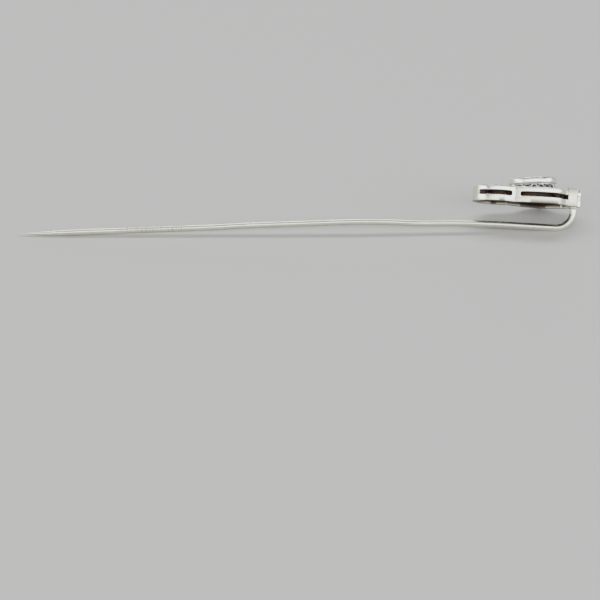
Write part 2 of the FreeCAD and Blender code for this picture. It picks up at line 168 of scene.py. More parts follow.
def stretched(flow, coordinates, along, across):
    return flow.node("ShaderNodeVectorMath", {"operation": "MULTIPLY"},
                     {0: coordinates, 1: (along, across, across)})

# per-vertex darkening mask: real tarnish and dirt, together with painted shade in the hollows and on the
# undersides
def grimeAndShadeFlow(flow):
    return flow.node("ShaderNodeAttribute", {"attribute_name": "grimeAndShade"}, None, 2)

# tarnishAndShade is the dark brown of real tarnish, used also as painted shade inside and under the head
metal = {"clean": (0.74, 0.78, 0.60), "cool": (0.66, 0.70, 0.76), "tarnishAndShade": (0.045, 0.020, 0.016),
         "film": (0.42, 0.38, 0.30), "bumpHeight": 0.000012}

def headMetal(name="headMetal", clean=metal["clean"], roughness=0.13, texture=0.35, grain=9.0):
    material, flow, shader, place = startMaterial(name)
    cloud = flow.noise(place, 0.9, 4.0)
    fine = flow.noise(place, grain, 5.0, 0.65)
    scratches = flow.noise(stretched(flow, place, 2.0, 22.0), 1.6, 4.0)
    grimeAndShade = grimeAndShadeFlow(flow)
    # the mask darkens towards the dark brown: real tarnish, and painted shade in hollows and on undersides;
    # the film is heavier there too
    dirtAndShade = (grimeAndShade * (0.72 + 0.6 * fine)).clamp()
    worn = cloud.between(0.42, 0.66)
    body = worn.mix((*clean, 1), (*metal["cool"], 1))
    film = (fine.between(0.58, 0.78) * 0.35 + grimeAndShade.between(0.05, 0.4) * 0.5).clamp()
    filmed = film.mix(body, (*metal["film"], 1))
    colour = dirtAndShade.between(0.25, 0.8).mix(filmed, (*metal["tarnishAndShade"], 1))
    flow.feed(shader, {"Base Color": colour, "Roughness": roughness + 0.10 * fine + 0.5 * dirtAndShade,
                       "Metallic": 1.0 - 0.75 * dirtAndShade.between(0.3, 0.9),
                       "Normal": (fine * 0.6 + scratches * 0.5).bump(texture, metal["bumpHeight"])})
    return material

# dullAndShade is the dark colour of dirt in the grip marks, used also as painted shade on the stem's lower
# side
wire = {"clean": (0.86, 0.87, 0.73), "patch": (0.78, 0.78, 0.68), "dullAndShade": (0.20, 0.17, 0.12),
        "roughness": 0.22, "texture": 0.35, "bumpHeight": 0.000015}

def stemMetal():
    material, flow, shader, place = startMaterial("stemMetal")
    drawn = flow.noise(stretched(flow, place, 0.35, 14.0), 1.4, 4.0)
    patches = flow.noise(place, 0.55, 5.0, 0.6)
    specks = flow.noise(place, 7.5, 3.0, 0.7)
    grimeAndShade = grimeAndShadeFlow(flow)
    body = patches.between(0.38, 0.68).mix((*wire["clean"], 1), (*wire["patch"], 1))
    dullAndShade = (specks.between(0.60, 0.74) * 0.5 + grimeAndShade * (0.4 + specks)).clamp()
    colour = dullAndShade.mix(body, (*wire["dullAndShade"], 1))
    flow.feed(shader, {"Base Color": colour, "Metallic": 1.0 - 0.4 * dullAndShade,
                       "Roughness": wire["roughness"] + 0.14 * patches + 0.3 * dullAndShade,
                       "Normal": (drawn * 0.8 + specks * 0.35).bump(wire["texture"], wire["bumpHeight"])})
    return material

stone = {"clear": (0.97, 0.98, 1.0), "shade": (0.90, 0.92, 0.94), "refraction": 2.3, "through": 0.82}

def clearStone():
    material, flow, shader, place = startMaterial("clearStone")
    tint = flow.noise(place, 1.3, 2.0).between(0.35, 0.7)
    flow.feed(shader, {"Base Color": tint.mix((*stone["clear"], 1), (*stone["shade"], 1)),
                       "Roughness": 0.01 + 0.02 * tint, "IOR": stone["refraction"],
                       "Transmission Weight": stone["through"], "Metallic": 0.0})
    return material

finishes = {"stem_metal": stemMetal(), "head_metal": headMetal(),
            "grain_metal": headMetal("grainMetal", (0.82, 0.82, 0.75), 0.17, 0.6, 12.0),
            "clear_stone": clearStone()}
print("materials made")

# from here on, meshes are made in millimetres in the head's or the stem's own frame
def insetAt(spot):
    # distance inside the outline, from the side or sides beside this spot
    far = spot.y > 0
    if spot.x < shape["notch"][0]:
        near = (outlineSides[0], outlineSides[8])
    elif spot.x < shape["swell"][0]:
        near = (outlineSides[7 if far else 1],)
    elif spot.x < shape["hip"][0]:
        near = (outlineSides[6 if far else 2],)
    else:
        near = outlineSides[3:6]
    return min(gapInside(side, spot) for side in near)

# tarnish and painted shade: how deep it starts and fades in, how the low part clears, the darker bottom edge
# of the outer wall with two higher dark patches (place along the head, half length, height)
tarnishAndShadeLevels = {"roof": 0.06, "roofFade": 0.12, "start": 0.16, "fade": 0.22, "lowTop": 0.50, "lowFade": 0.20,
         "cleared": 0.60, "edge": 0.11, "edgeFade": 0.10, "edgeDark": 0.60,
         "darkPatches": ((1.6, 1.6, 0.32), (-3.0, 0.35, 0.15)), "postStart": 0.02, "postFade": 0.04,
         "postDark": 0.95, "notchShare": 0.75}

def tarnishAndShadeAt(spot):
    # tarnish and painted shade sit inside the head, under the plate and on the walls of the slot
    depth = insetAt(Vector((spot.x, spot.y)))
    under = limited((railTop - tarnishAndShadeLevels["roof"] - spot.z) / tarnishAndShadeLevels["roofFade"])
    inside = limited((depth - tarnishAndShadeLevels["start"]) / tarnishAndShadeLevels["fade"])
    low = 1.0 - tarnishAndShadeLevels["cleared"] * limited((tarnishAndShadeLevels["lowTop"] - spot.z) / tarnishAndShadeLevels["lowFade"])
    edge = tarnishAndShadeLevels["edge"] + sum(tall * max(0.0, 1 - ((spot.x - place) / half) ** 2)
                               for place, half, tall in tarnishAndShadeLevels["darkPatches"])
    hem = tarnishAndShadeLevels["edgeDark"] * limited((edge - spot.z) / tarnishAndShadeLevels["edgeFade"])
    return max(hem, under * inside * low)

# painted shade: the tail post is darkened behind its front face, so the slot reads dark there
def postEndShade(spot):
    depth = insetAt(Vector((spot.x, spot.y)))
    return limited((depth - tarnishAndShadeLevels["postStart"]) / tarnishAndShadeLevels["postFade"], tarnishAndShadeLevels["postDark"])

def build(name, maker, slot, nodes=(), place=None, sharp=35, grimeAndShade=None):
    # one visible piece that stands for CAD nodes; sharp is the angle above which an edge stays crisp
    bmesh.ops.recalc_face_normals(maker, faces=maker.faces)
    mesh = bpy.data.meshes.new(name)
    maker.to_mesh(mesh)
    maker.free()
    mesh.validate()
    for face in mesh.polygons:
        face.use_smooth = True
    mesh.set_sharp_from_angle(angle=math.radians(sharp))
    # vertex mask of real tarnish and dirt together with painted shade
    grimeAndShadeLayer = mesh.attributes.new("grimeAndShade", "FLOAT", "POINT")
    for index, vertex in enumerate(mesh.vertices):
        grimeAndShadeLayer.data[index].value = grimeAndShade(vertex.co) if grimeAndShade else 0.0
    mesh.transform((place or headPlace) @ Matrix.Scale(milli, 4))
    mesh.materials.append(finishes[slot])
    piece = added(name, mesh)
    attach(piece, "root")
    if nodes:
        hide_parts(*nodes)

def addLoops(maker, loops, wrap=False):
    # skin between loops of equal count; wrap joins the last loop to the first, else the ends are capped
    rows = [[maker.verts.new(spot) for spot in loop] for loop in loops]
    count = len(rows[0])
    pairs = list(zip(rows, rows[1:])) + ([(rows[-1], rows[0])] if wrap else [])
    for first, second in pairs:
        for index in range(count):
            after = (index + 1) % count
            maker.faces.new((first[index], first[after], second[after], second[index]))
    if not wrap:
        maker.faces.new(rows[0][::-1])
        maker.faces.new(rows[-1])

def addTube(maker, path, radius, sides=10, closed=False):
    # round tube along a path; radius is a number or a function of the share along it
    count = len(path)
    loops = []
    normal = None
    for index, spot in enumerate(path):
        before = path[(index - 1) % count] if closed or index else spot
        after = path[(index + 1) % count] if closed or index < count - 1 else spot
        direction = (after - before).normalized()
        if normal is None:
            normal = direction.orthogonal().normalized()
        normal = (normal - direction * normal.dot(direction)).normalized()
        other = direction.cross(normal)
        size = radius(index / max(1, count - 1)) if callable(radius) else radius
        loops.append([spot + (normal * math.cos(turn) + other * math.sin(turn)) * size
                      for turn in (2 * math.pi * k / sides for k in range(sides))])
    addLoops(maker, loops, wrap=closed)

def addLathe(maker, profile, centre, sides, ripple=None):
    # ring turned about an upright axis from (radius, height) points
    loops = []
    for radius, height in profile:
        loop = []
        for k in range(sides):
            turn = 2 * math.pi * k / sides
            reach = radius + (ripple(radius, height, turn) if ripple else 0.0)
            loop.append(Vector((reach * math.cos(turn), reach * math.sin(turn), height)) + Vector(centre))
        loops.append(loop)
    addLoops(maker, loops, wrap=True)

def addBead(maker, centre, radius, flatten=1.0, fineness=2):
    shift = Matrix.Translation(centre) @ Matrix.Diagonal((1, 1, flatten, 1))
    bmesh.ops.create_icosphere(maker, subdivisions=fineness, radius=radius, matrix=shift)

def addStone(maker, centre, radius, crown=0.30, pavilion=0.76, girdle=0.05, turn=0.0):
    # old-cut round stone: table, stars, kites, halves and pavilion mains
    def ring(count, reach, height, offset):
        return [maker.verts.new(Vector(centre) + Vector((
            reach * radius * math.cos(turn + 2 * math.pi * (k + offset) / count),
            reach * radius * math.sin(turn + 2 * math.pi * (k + offset) / count), height * radius)))
            for k in range(count)]
    table = ring(8, 0.50, girdle + crown, 0)
    star = ring(8, 0.76, girdle + crown * 0.62, 0.5)
    upper = ring(16, 1.0, girdle, 0)
    lower = ring(16, 1.0, 0, 0)
    belly = ring(8, 0.55, -pavilion * 0.52, 0.5)
    culet = ring(8, 0.06, -pavilion, 0)
    maker.faces.new(table)
    maker.faces.new(culet[::-1])
    for k in range(8):
        after = (k + 1) % 8
        edge, half, corner = 2 * k, 2 * k + 1, (2 * k + 2) % 16
        maker.faces.new((table[after], table[k], star[k]))
        maker.faces.new((table[k], star[k - 1], upper[edge], star[k]))
        maker.faces.new((star[k], upper[edge], upper[half]))
        maker.faces.new((star[k], upper[half], upper[corner]))
        maker.faces.new((belly[k], lower[half], lower[edge]))
        maker.faces.new((belly[k], lower[corner], lower[half]))
        maker.faces.new((culet[k], belly[k], lower[edge], belly[k - 1]))
        maker.faces.new((culet[k], culet[after], belly[k]))
    for k in range(16):
        after = (k + 1) % 16
        maker.faces.new((upper[after], upper[k], lower[k], lower[after]))

def softened(low, high, foot, top, radius, steps=4):
    # closed section of (inset, height) points with rounded corners
    spots = []
    corners = [(high - radius, foot + radius, -90), (high - radius, top - radius, 0),
               (low + radius, top - radius, 90), (low + radius, foot + radius, 180)]
    for across, up, start in corners:
        for step in range(steps + 1):
            turn = math.radians(start + 90 * step / steps)
            spots.append((across + radius * math.cos(turn), up + radius * math.sin(turn)))
    return spots

# outline of the head: arcs and lines, anticlockwise from the tail
shape = {"tail": (-5.78, 0.0), "notch": (-1.5, 2.38), "swell": (2.6, 3.7), "hip": (4.55, 2.05),
         "end": (6.05, 1.3), "tailRadius": 2.8, "swellRadius": 9.0, "hipRadius": 4.5, "step": 0.10}

def makeSide(start, end, radius=None):
    start, end = Vector(start), Vector(end)
    chord = end - start
    left = Vector((-chord.y, chord.x)).normalized()
    if radius is None:
        return {"start": start, "end": end, "left": left, "length": chord.length}
    rise = math.sqrt(radius ** 2 - chord.length ** 2 / 4)
    sweep = 2 * math.asin(chord.length / 2 / radius)
    return {"start": start, "end": end, "radius": radius, "centre": (start + end) / 2 + left * rise,
            "length": radius * sweep}

def gapInside(side, spot):
    if "radius" in side:
        return side["radius"] - (spot - side["centre"]).length
    return side["left"].dot(spot - side["start"])

def inwardAt(side, spot):
    return (side["centre"] - spot).normalized() if "radius" in side else side["left"]

halfOutline = [shape[key] for key in ("notch", "swell", "hip", "end")]
cornerSpots = [shape["tail"]] + [(u, -v) for u, v in halfOutline] + halfOutline[::-1]
bends = [shape["tailRadius"], shape["swellRadius"], shape["hipRadius"], None]
sideBends = bends + [None] + bends[::-1]
outlineSides = [makeSide(cornerSpots[k], cornerSpots[(k + 1) % len(cornerSpots)], sideBends[k])
                for k in range(len(cornerSpots))]

def meeting(first, second, start, inset):
    # where two sides cross once both are drawn in by the inset
    spot = Vector(start)
    for _ in range(12):
        a, b = inwardAt(first, spot), inwardAt(second, spot)
        wantA, wantB = inset - gapInside(first, spot), inset - gapInside(second, spot)
        area = a.x * b.y - a.y * b.x
        spot += Vector(((wantA * b.y - wantB * a.y) / area, (a.x * wantB - b.x * wantA) / area))
    return spot

def outlineLoop(inset, height=0.0):
    total = len(outlineSides)
    corners = [meeting(outlineSides[k - 1], outlineSides[k], outlineSides[k]["start"], inset)
               for k in range(total)]
    loop = []
    for k, side in enumerate(outlineSides):
        start, end = corners[k], corners[(k + 1) % total]
        count = max(3, round(side["length"] / shape["step"]))
        for step in range(count):
            share = step / count
            if "radius" in side:
                first, last = start - side["centre"], end - side["centre"]
                swing = math.atan2(first.x * last.y - first.y * last.x, first.dot(last)) * share
                arm = Matrix.Rotation(swing, 2) @ first
                spot = side["centre"] + arm
            else:
                spot = start.lerp(end, share)
            loop.append(Vector((spot.x, spot.y, height)))
    return loop

def alongOutline(inset, spacing):
    # evenly spaced spots along an inset line
    loop = outlineLoop(inset)
    lengths = [(loop[(k + 1) % len(loop)] - loop[k]).length for k in range(len(loop))]
    count = round(sum(lengths) / spacing)
    pitch = sum(lengths) / count
    spots, index, walked = [], 0, 0.0
    for number in range(count):
        target = number * pitch
        while walked + lengths[index] < target:
            walked += lengths[index]
            index += 1
        share = (target - walked) / lengths[index]
        spots.append(loop[index].lerp(loop[(index + 1) % len(loop)], share))
    return spots

def makeRail(name, node, foot, top):
    # one rim of the head; its outer face stays a hair inside the outline
    maker = bmesh.new()
    section = softened(0.0, rails["wall"], foot, top, rails["soften"])
    addLoops(maker, [outlineLoop(max(0.004, inset), height) for inset, height in section], wrap=True)
    build(name, maker, "head_metal", [node], grimeAndShade=tarnishAndShadeAt)

makeRail("lowerRail", "lower_rail", 0.0, rails["lower"])
makeRail("upperRail", "upper_rail", rails["lower"] + rails["slot"], railTop)
print("rails made")

# stem: drawn wire with a long point, hand bends, a grip zone and a short leg into the head.  The
# run gives the distance from the heel corner and the height of each bend; dents give the distance
# from the point, half length and depth
# shade darkens the stem's lower side as painted shade, up to shadeTo from the point
stem = {"radius": 0.375, "tipRadius": 0.02, "taper": 6.4, "cornerAt": (5.4, -0.9, -2.41), "bend": 1.95,
        "share": 0.45, "sink": 0.9, "sides": 40, "step": 0.11,
        "run": ((-62.0, 0.21), (-39.0, 0.91), (-36.9, 1.05), (-24.4, 1.41), (-20.0, 1.32),
                (-17.1, 1.10), (-13.3, 1.14), (-8.7, 0.91)), "cornerRise": 0.22,
        "slim": 0.992, "waves": ((0.9, 0.006), (2.3, 0.004)), "shade": 0.46, "shadeTo": 60.5, "shadeEnd": 3,
        "gripFrom": 11.6, "gripTo": 18.9, "gripPitch": 0.27, "gripDepth": 0.045, "dentTurn": 0.7,
        "dents": ((37.3, 0.30, 0.020), (38.6, 0.22, 0.016), (24.1, 0.5, 0.012), (45.2, 0.35, 0.010))}

def stemStations():
    corner = headPlace @ (Vector(stem["cornerAt"]) * milli) / milli
    spots = [corner + Vector((along, 0, rise - stem["cornerRise"])) for along, rise in stem["run"]]
    legTop = Vector((*stem["cornerAt"][:2], stem["sink"]))
    return spots + [corner, headPlace @ (legTop * milli) / milli]

def stemPath():
    spots = stemStations()
    path = []
    start = spots[0]
    for index in range(1, len(spots) - 1):
        corner = spots[index]
        before = spots[index - 1] - corner
        after = spots[index + 1] - corner
        half = (math.pi - before.angle(after)) / 2
        radius = stem["bend"]
        if index < len(spots) - 2:
            radius = stem["share"] * min(before.length, after.length) / math.tan(half)
        reach = radius * math.tan(half)
        begin = corner + before.normalized() * reach
        finish = corner + after.normalized() * reach
        inward = (before.normalized() + after.normalized()).normalized()
        centre = corner + inward * radius / math.cos(half)
        runCount = max(1, round((begin - start).length / stem["step"]))
        path += [start.lerp(begin, k / runCount) for k in range(runCount)]
        turnCount = max(2, round(2 * half * radius / stem["step"]))
        arm, last = begin - centre, finish - centre
        axis = arm.cross(last).normalized()
        path += [centre + Matrix.Rotation(2 * half * k / turnCount, 3, axis) @ arm for k in range(turnCount)]
        start = finish
    runCount = max(1, round((spots[-1] - start).length / stem["step"]))
    return path + [start.lerp(spots[-1], k / runCount) for k in range(runCount + 1)]

def makeNicks():
    # grip marks: place along the stem, half length, side and depth
    nicks = []
    spot = stem["gripFrom"]
    while spot < stem["gripTo"]:
        nicks.append((spot, chance.uniform(0.05, 0.10), chance.uniform(-0.6, 1.3), chance.uniform(0.4, 1.0)))
        spot += stem["gripPitch"] * chance.uniform(0.6, 1.3)
    return nicks

def makeStem():
    path = stemPath()
    walked = [0.0]
    for first, second in zip(path, path[1:]):
        walked.append(walked[-1] + (second - first).length)
    nicks = makeNicks()
    maker = bmesh.new()
    side = Vector((0, -1, 0))
    loops = []
    for index, spot in enumerate(path):
        direction = (path[min(index + 1, len(path) - 1)] - path[max(index - 1, 0)]).normalized()
        across = (side - direction * side.dot(direction)).normalized()
        other = direction.cross(across)
        size = stem["radius"] * sum((high * math.sin(walked[index] * pace) for pace, high in stem["waves"]),
                                    stem["slim"])
        if walked[index] < stem["taper"]:
            share = walked[index] / stem["taper"]
            size = stem["tipRadius"] + (size - stem["tipRadius"]) * (1 - (1 - share) ** 1.5)
        loop = []
        for k in range(stem["sides"]):
            turn = 2 * math.pi * k / stem["sides"]
            reach = size
            for place, width, facing, depth in nicks:
                gap = abs(walked[index] - place) / width
                if gap < 1:
                    lit = max(0.0, math.cos(turn + facing)) ** 3
                    reach -= stem["gripDepth"] * depth * lit * (1 - gap * gap)
            for place, width, depth in stem["dents"]:
                gap = abs(walked[index] - place) / width
                if gap < 1:
                    reach -= depth * (1 - gap * gap) * max(0.0, math.cos(turn - stem["dentTurn"]))
            loop.append(spot + (across * math.cos(turn) + other * math.sin(turn)) * reach)
        loops.append(loop)
    addLoops(maker, loops)
    origin = path[0]

    def stemShadeAndGrime(spot):
        # the lower side is darkened as painted shade, and dirt sits in the grip marks
        along = spot.x - origin.x
        if along >= stem["shadeTo"]:
            return 0.0
        centre = min(path, key=lambda other: abs(other.x - spot.x))
        rise = (spot.z - centre.z) / stem["radius"]
        turn = math.atan2(centre.z - spot.z, centre.y - spot.y)
        shade = stem["shade"] * limited((0.25 - rise) / 0.45)
        shade *= min(1.0, (stem["shadeTo"] - along) / stem["shadeEnd"])
        fade = limited((along - stem["gripFrom"] + 0.3) / 0.6) * limited((stem["gripTo"] + 0.3 - along) / 0.6)
        cut = 0.0
        for place, width, facing, depth in nicks:
            if abs(along - place) < width:
                lit = max(0.0, math.cos(turn + facing)) ** 2
                cut = max(cut, depth * (1 - abs(along - place) / width) * lit)
        return max(shade, fade * (0.08 + 0.95 * cut))
    build("pinStem", maker, "stem_metal", ["pin_stem"], Matrix.Identity(4), 50, stemShadeAndGrime)

makeStem()
print("stem made")

# seat: collar and solder fillet round the leg, as (radius, height) points
seat = {"collar": ((0.37, -0.16), (0.43, -0.165), (0.465, -0.14), (0.48, -0.10), (0.48, -0.03),
                   (0.47, 0.0), (0.37, 0.0)),
        "fillet": ((0.37, -0.30), (0.385, -0.26), (0.41, -0.20), (0.44, -0.155), (0.37, -0.15)),
        "sides": 48, "film": 0.25}

def makeSeat():
    maker = bmesh.new()
    centre = (*stem["cornerAt"][:2], 0)
    addLathe(maker, seat["collar"], centre, seat["sides"],
             lambda radius, height, turn: 0.010 * math.sin(3 * turn + 1) + 0.006 * math.sin(7 * turn))
    addLathe(maker, seat["fillet"], centre, seat["sides"])
    build("stemSeat", maker, "stem_metal", ["stem_seat"], grimeAndShade=lambda spot: seat["film"])

makeSeat()

# blocks at the stem end: two beside it with a sloping top, and the end block
blocks = {"along": 4.5, "long": 1.08, "face": 2.15, "deep": 0.75, "tall": 2.10, "fall": 0.20,
          "cutLong": 0.16, "cutAcross": 0.14, "bevel": 0.055, "film": 0.20,
          "endLong": 1.2, "endTall": 2.00, "endFall": 0.10, "endBevel": 0.04, "endCutLong": 0.05,
          "endCutAcross": 0.06}

def addPrism(maker, plan, foot, top, bevel, tilt=0.0):
    # upright prism over a plan polygon, its top tilted along u, its edges rounded
    low = [maker.verts.new((u, v, foot)) for u, v in plan]
    reach = [u for u, _ in plan]
    high = [maker.verts.new((u, v, top - tilt * (u - min(reach)))) for u, v in plan]
    faces = [maker.faces.new(low[::-1]), maker.faces.new(high)]
    count = len(plan)
    for k in range(count):
        after = (k + 1) % count
        faces.append(maker.faces.new((low[k], low[after], high[after], high[k])))
    bmesh.ops.recalc_face_normals(maker, faces=faces)
    edges = list({edge for face in faces for edge in face.edges})
    bmesh.ops.bevel(maker, geom=edges, offset=bevel, segments=3, profile=0.5, affect="EDGES")

# posts between the rails, and the beads on the notches
posts = {"notchBefore": 0.34, "notchAfter": 0.52, "tailHalf": 1.45, "flare": 0.13, "sink": 0.12,
         "faceInset": 0.003, "ledgeInset": 0.06, "backLap": 0.01, "levels": 14,
         "bead": 0.2, "beadAlong": -1.65, "beadAcross": 1.88, "beadLift": 0.17, "beadFlatten": 0.92}
elsewhere = 99  # measure of a spot that isn't on this post's wall

def blockGrime(spot):
    return blocks["film"]

# the notch posts take a share of the tarnish and painted shade
def postTarnishAndShade(spot):
    return tarnishAndShadeLevels["notchShare"] * tarnishAndShadeAt(spot)

def addWallPost(maker, measure, before, after):
    # upright part of the wall between the rails; its ends flare into the rails, so the windows
    # beside it have rounded corners.  measure gives a spot's distance along the wall
    low, high = rails["lower"] - posts["sink"], rails["lower"] + rails["slot"] + posts["sink"]
    middleHeight, half = (low + high) / 2, rails["slot"] / 2
    flare = posts["flare"]
    face, ledge = outlineLoop(posts["faceInset"]), outlineLoop(posts["ledgeInset"])
    back = outlineLoop(rails["wall"] - posts["backLap"])
    loops = []
    for level in range(posts["levels"] + 1):
        height = low + (high - low) * level / posts["levels"]
        near = limited(abs(height - middleHeight) - (half - flare), flare)
        spread = flare - math.sqrt(max(0.0, flare * flare - near * near))
        front, rear, step = [spanOf(wall, measure, -before - spread, after + spread)
                             for wall in (face, back, ledge)]
        ring = front + step[-1:] + rear[::-1] + step[:1]
        loops.append([Vector((spot.x, spot.y, height)) for spot in ring])
    addLoops(maker, loops)

def spanOf(loop, measure, low, high, count=28):
    # evenly shared spots of a loop between two measured distances
    total = len(loop)
    start = min(range(total), key=lambda k: abs(measure(loop[k]) - low))
    finish = min(range(total), key=lambda k: abs(measure(loop[k]) - high))
    step = 1 if (finish - start) % total < total / 2 else -1
    start, finish = (start - 2 * step) % total, (finish + 2 * step) % total
    walk = [loop[start]]
    while start != finish:
        start = (start + step) % total
        walk.append(loop[start])
    lengths = [0.0]
    for first, second in zip(walk, walk[1:]):
        lengths.append(lengths[-1] + (second - first).length)
    begin = crossing(walk, lengths, measure, low)
    end = crossing(walk, lengths, measure, high)
    return [walkedSpot(walk, lengths, begin + (end - begin) * k / (count - 1)) for k in range(count)]

def crossing(walk, lengths, measure, target):
    # walked length at which the measure passes the target
    for k in range(len(walk) - 1):
        a, b = measure(walk[k]), measure(walk[k + 1])
        if elsewhere not in (a, b) and (a - target) * (b - target) <= 0 and a != b:
            return lengths[k] + (lengths[k + 1] - lengths[k]) * (target - a) / (b - a)
    return 0.0 if abs(measure(walk[0]) - target) < abs(measure(walk[-1]) - target) else lengths[-1]

def walkedSpot(walk, lengths, target):
    for k in range(len(walk) - 1):
        if lengths[k + 1] >= target:
            gap = max(1e-9, lengths[k + 1] - lengths[k])
            return walk[k].lerp(walk[k + 1], limited((target - lengths[k]) / gap))
    return walk[-1]

def makeUprights():
    foot = blocks["along"]
    head = foot + blocks["long"]
    tip, wide = shape["end"]
    start, shoulder = tip - blocks["endLong"], tip - blocks["endCutLong"]
    maker = bmesh.new()
    addPrism(maker, [(start, -wide), (shoulder, -wide), (tip, -wide + blocks["endCutAcross"]),
                     (tip, wide - blocks["endCutAcross"]), (shoulder, wide), (start, wide)],
             0.0, blocks["endTall"], blocks["endBevel"], blocks["endFall"])
    build("endBlock", maker, "head_metal", ["end_block"], sharp=50, grimeAndShade=blockGrime)
    for side, word in ((-1, "near"), (1, "far")):
        maker = bmesh.new()
        inner, outer = side * (blocks["face"] - blocks["deep"]), side * blocks["face"]
        plan = [(foot, inner), (foot, outer), (head - blocks["cutLong"], outer),
                (head, outer - side * blocks["cutAcross"]), (head, inner)]
        addPrism(maker, plan if side > 0 else plan[::-1], 0.0, blocks["tall"], blocks["bevel"],
                 blocks["fall"])
        build(word + "SideBlock", maker, "head_metal", [word + "_side_block"], sharp=50, grimeAndShade=blockGrime)
        maker = bmesh.new()
        notchAlong = shape["notch"][0]
        addWallPost(maker, lambda spot, side=side: spot.x - notchAlong if spot.y * side > 0 else elsewhere,
                    posts["notchBefore"], posts["notchAfter"])
        build(word + "NotchPost", maker, "head_metal", [word + "_notch_post"], sharp=50, grimeAndShade=postTarnishAndShade)
        maker = bmesh.new()
        addBead(maker, (posts["beadAlong"], side * posts["beadAcross"], railTop + posts["beadLift"]),
                posts["bead"], posts["beadFlatten"], 3)
        build(word + "NotchBead", maker, "grain_metal", [word + "_notch_bead"])
    maker = bmesh.new()
    addWallPost(maker, lambda spot: spot.y if spot.x < shape["notch"][0] else elsewhere,
                posts["tailHalf"], posts["tailHalf"])
    build("tailPost", maker, "head_metal", ["tail_post"], sharp=50, grimeAndShade=postEndShade)

makeUprights()
print("uprights made")

# small settings: name, place along and across the head, and radius
cups = {"rise": 0.20, "drop": 0.35, "skirt": 0.92, "claw": 0.075, "bead": 0.048, "beadPitch": 0.125,
        "spots": (
    ("tail", -4.3, 0.0, 0.58), ("spine", -3.2, 0.0, 0.46), ("neck", 4.34, 0.0, 0.48),
    ("lobe", -2.92, 1.45, 0.62), ("notch", -2.06, 1.04, 0.26), ("shoulder", 3.2, 2.19, 0.37),
    ("hip", 3.98, 1.26, 0.38))}

def cupList():
    # every setting; those off the middle line stand in pairs
    for name, u, v, radius in cups["spots"]:
        if v == 0:
            yield name, u, v, radius
        else:
            yield "near_" + name, u, -v, radius
            yield "far_" + name, u, v, radius

def polar(centre, reach, turn, height):
    return Vector((centre[0] + reach * math.cos(turn), centre[1] + reach * math.sin(turn), height))

def circleLoop(centre, radius, count, height):
    return [polar(centre, radius, 2 * math.pi * k / count, height) for k in range(count)]

# holes through the plate: place along and across, and radius, on both sides
piercings = ((-5.25, 0.62, 0.13), (-4.55, 1.05, 0.17), (-3.98, 0.72, 0.15), (-3.72, 1.75, 0.13),
             (-2.25, 0.52, 0.15), (-2.2, 1.95, 0.12), (-1.65, 1.35, 0.12), (2.55, 2.85, 0.14),
             (3.75, 1.72, 0.11), (2.25, 2.55, 0.11), (4.1, 0.72, 0.11), (3.62, 0.55, 0.10))

def makePlate():
    maker = bmesh.new()
    top = railTop - 0.015
    loops = [outlineLoop(plate["inset"] - plate["lap"], top),
             circleLoop((raised["along"], 0), plate["window"], 96, top)]
    for _, u, v, radius in cupList():
        loops.append(circleLoop((u, v), radius - 0.03, 40, top))
    for u, v, radius in piercings:
        for side in (-1, 1):
            loops.append(circleLoop((u, side * v), radius, 20, top))
    edges = []
    for loop in loops:
        ring = [maker.verts.new(spot) for spot in loop]
        edges += [maker.edges.new((ring[k], ring[(k + 1) % len(ring)])) for k in range(len(ring))]
    bmesh.ops.triangle_fill(maker, use_beauty=True, edges=edges)
    grown = bmesh.ops.extrude_face_region(maker, geom=list(maker.faces))
    moved = [part for part in grown["geom"] if isinstance(part, bmesh.types.BMVert)]
    bmesh.ops.translate(maker, verts=moved, vec=(0, 0, -plate["thick"] + plate["lap"]))
    # the plate's underside is darkened as painted shade; its top carries a light tarnish film
    build("topPlate", maker, "head_metal", ["top_plate"],
          grimeAndShade=lambda spot: 0.9 if spot.z < top - 0.1 else 0.12)

makePlate()

# milgrain border: beads between two wires (inset, rise), up to the blocks
border = {"inset": 0.19, "pitch": 0.205, "bead": 0.098, "rise": 0.035, "wire": 0.028,
          "wires": ((0.08, 0.02), (0.35, 0.015))}

def makeBorder():
    maker = bmesh.new()
    for spot in alongOutline(border["inset"], border["pitch"]):
        if spot.x > blocks["along"] - 0.05:
            continue
        addBead(maker, (spot.x, spot.y, railTop + border["rise"]),
                border["bead"] * chance.uniform(0.94, 1.04))
    for inset, rise in border["wires"]:
        path = [Vector((spot.x, spot.y, railTop + rise)) for spot in outlineLoop(inset)]
        path = [spot for spot in path if spot.x < blocks["along"]]
        split = next(k for k in range(1, len(path)) if (path[k] - path[k - 1]).length > 1.0)
        addTube(maker, path[split:] + path[:split], border["wire"], 8)
    build("milgrainBorder", maker, "grain_metal", ["milgrain_border"])

makeBorder()
print("plate and border made")

def spotAt(turn, radius, height):
    return polar(middle, radius, turn, height)

def around(count, radius, height, turnShare=0.0):
    # spots and turns evenly shared round the raised middle
    for k in range(count):
        turn = 2 * math.pi * (k + turnShare) / count
        yield spotAt(turn, radius, height), turn

galleryTop = railTop + raised["gallery"]
small = Matrix.Scale(milli, 4)
tierPlace = headPlace @ small @ tierTurn @ small.inverted()
middle = (raised["along"], 0, 0)

# arcade gallery: wire radii of its rings and arches, bead radii, and the wall behind the arches, darkened
# as painted shade, as (distance behind, share of the height)
gallery = {"arches": 20, "footWire": 0.075, "neckWire": 0.07, "archWire": 0.058, "footBead": 0.11,
           "neckBead": 0.085, "wall": ((-0.22, 0.0), (-0.16, 0.0), (-0.10, 1.0), (-0.16, 1.0))}

